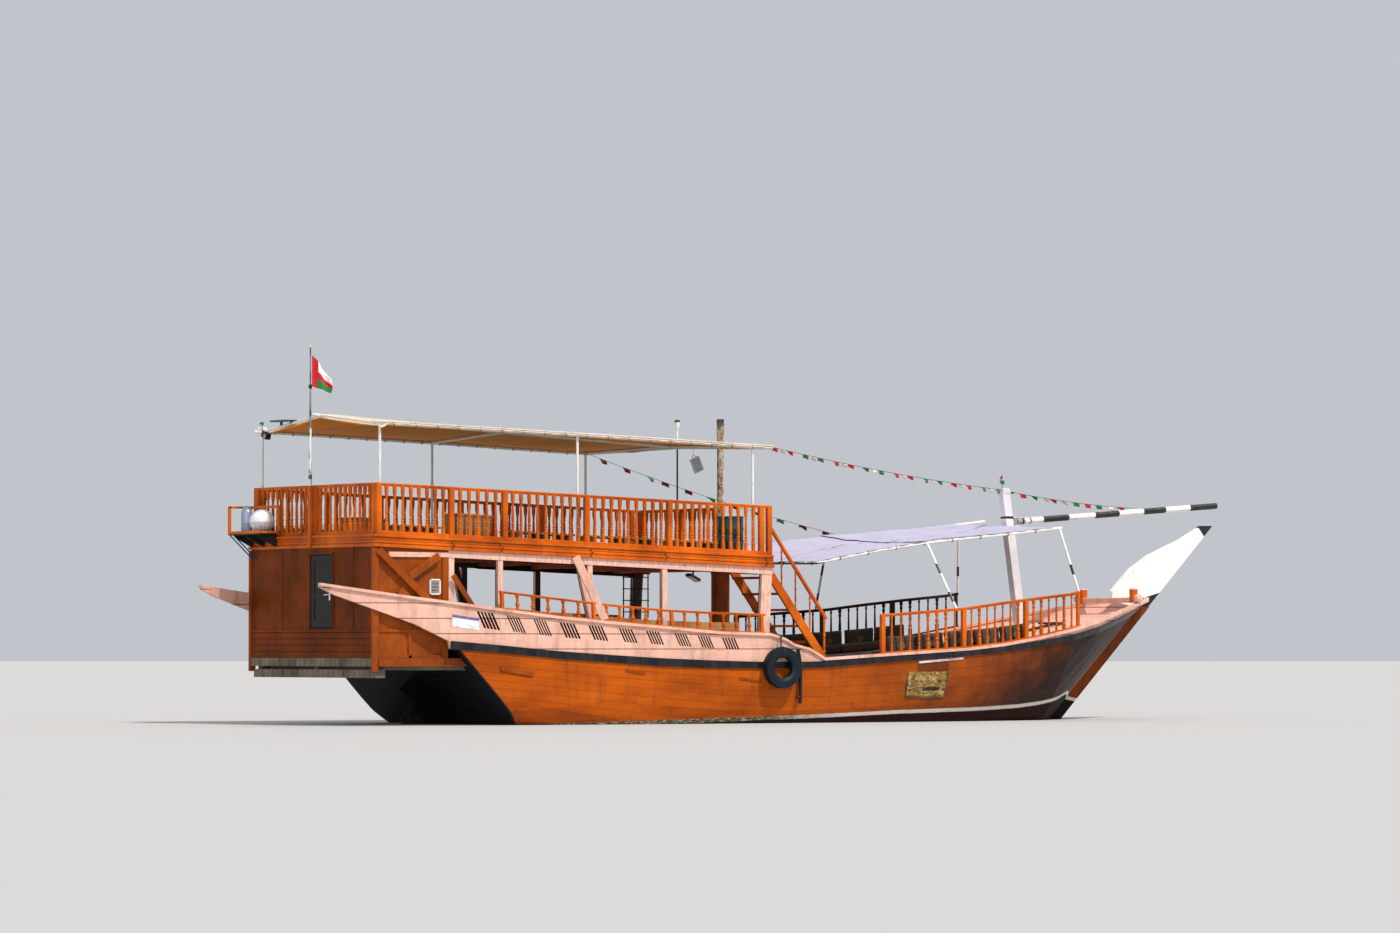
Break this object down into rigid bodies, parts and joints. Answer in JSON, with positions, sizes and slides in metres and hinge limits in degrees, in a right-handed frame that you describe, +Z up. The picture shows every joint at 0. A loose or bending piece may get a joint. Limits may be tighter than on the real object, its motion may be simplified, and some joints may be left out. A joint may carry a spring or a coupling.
{
  "type": "dhow sailing boat",
  "caption": "Wooden dhow with a raked stem, winged stern cabin, railed upper deck under a canopy, foredeck awning, short mast with a boom, rudder and propeller.",
  "frame": {"origin": "on the centreline at the waterline, amidships", "axes": "+X to the bow, +Y to port, +Z up, square to the water"},
  "size_m": [18.8239, 4.9198, 7.18],
  "materials": {
    "hull_planks": "oiled orange-brown planks, weathered",
    "rail_wood": "bright oiled orange-brown wood",
    "dark_wood": "dark weathered wood",
    "pink_paint": "pale salmon paint, chipped and stained",
    "strake_paint": "blue-black gloss paint, worn",
    "white_paint": "white paint",
    "door_paint": "grey paint",
    "white_tube": "white painted tube",
    "grey_tube": "grey painted tube",
    "funnel_paint": "orange paint below, bare corroded pipe above",
    "bare_iron": "rough iron",
    "bronze": "dull bronze",
    "teal_paint": "dark teal paint",
    "bottle_paint": "silver-blue paint",
    "float_plastic": "white plastic",
    "canopy_cloth": "heavy canvas, cream outside and olive inside",
    "awning_cloth": "thin lavender-grey cloth",
    "flag_cloth": "light flag cloth",
    "cushion_cloth": "dark patterned cushion cloth",
    "tyre_rubber": "old black rubber"
  },
  "bodies": {
    "boat": {"keel_and_stem": "dark_wood", "hull": "hull_planks", "engine_block": "bare_iron", "main_deck": "dark_wood", "bow_deck": "pink_paint", "bulwark_port": "pink_paint", "bulwark_starboard": "pink_paint", "cap_rail_port": "pink_paint", "cap_rail_starboard": "pink_paint", "strake_port": "strake_paint", "strake_starboard": "strake_paint", "wing_port": "pink_paint", "wing_starboard": "pink_paint", "wing_cap_port": "pink_paint", "wing_cap_starboard": "pink_paint", "cap_sill_port": "pink_paint", "cap_sill_starboard": "pink_paint", "upper_deck": "rail_wood", "cabin_platform": "rail_wood", "cabin_aft_wall": "rail_wood", "cabin_fore_wall": "rail_wood", "cabin_side_port": "rail_wood", "cabin_side_starboard": "rail_wood", "frame_port": "pink_paint", "frame_starboard": "pink_paint", "upper_rail_port": "rail_wood", "upper_rail_starboard": "rail_wood", "upper_rail_stern": "rail_wood", "upper_rail_fore": "rail_wood", "quarter_rail_port": "rail_wood", "quarter_rail_starboard": "rail_wood", "bow_rail_port": "rail_wood", "bow_rail_starboard": "rail_wood", "bench_port": "rail_wood", "bench_starboard": "rail_wood", "cushion_port": "cushion_cloth", "cushion_starboard": "cushion_cloth", "stairs": "rail_wood", "canopy_frame": "white_tube", "canopy": "canopy_cloth", "flag_pole": "grey_tube", "flag": "flag_cloth", "awning_frame": "grey_tube", "awning": "awning_cloth", "mast": "white_paint", "funnel": "funnel_paint", "bow_crossbeam": "pink_paint", "stem_head": "white_paint", "stern_shelf": "dark_wood", "float_case": "float_plastic", "gas_bottle": "bottle_paint", "tyre_fender": "tyre_rubber", "lamp_post": "grey_tube", "drum": "teal_paint", "anchor": "bare_iron"},
    "propeller": {"propeller": "bronze"},
    "rudder": {"rudder": "dark_wood"},
    "stern_door": {"stern_door": "door_paint"},
    "cabin_door": {"cabin_door": "dark_wood"},
    "boom": {"boom": "white_paint"}
  },
  "joints": [
    {"name": "propeller_spin", "type": "hinge", "parent": "boat", "child": "propeller", "pos_m": [-4.59, 0, -0.77], "axis": [1, 0, 0], "continuous": true},
    {"name": "rudder_swing", "type": "hinge", "parent": "boat", "child": "rudder", "pos_m": [-5.91243, 0, -0.24644], "axis": [-0.6845, 0, 0.729], "range_deg": [-35, 35]},
    {"name": "stern_door_swing", "type": "hinge", "parent": "boat", "child": "stern_door", "pos_m": [-8.189, 0.026, 2.1], "axis": [0, 0, -1], "range_deg": [0, 100]},
    {"name": "cabin_door_swing", "type": "hinge", "parent": "boat", "child": "cabin_door", "pos_m": [-6.841, 0.376, 1.9], "axis": [0, 0, 1], "range_deg": [0, 95]},
    {"name": "boom_swing", "type": "hinge", "parent": "boat", "child": "boom", "pos_m": [5.412, 0, 3.37], "axis": [-0.1454, 0, 0.9894], "range_deg": [-60, 60]}
  ]
}
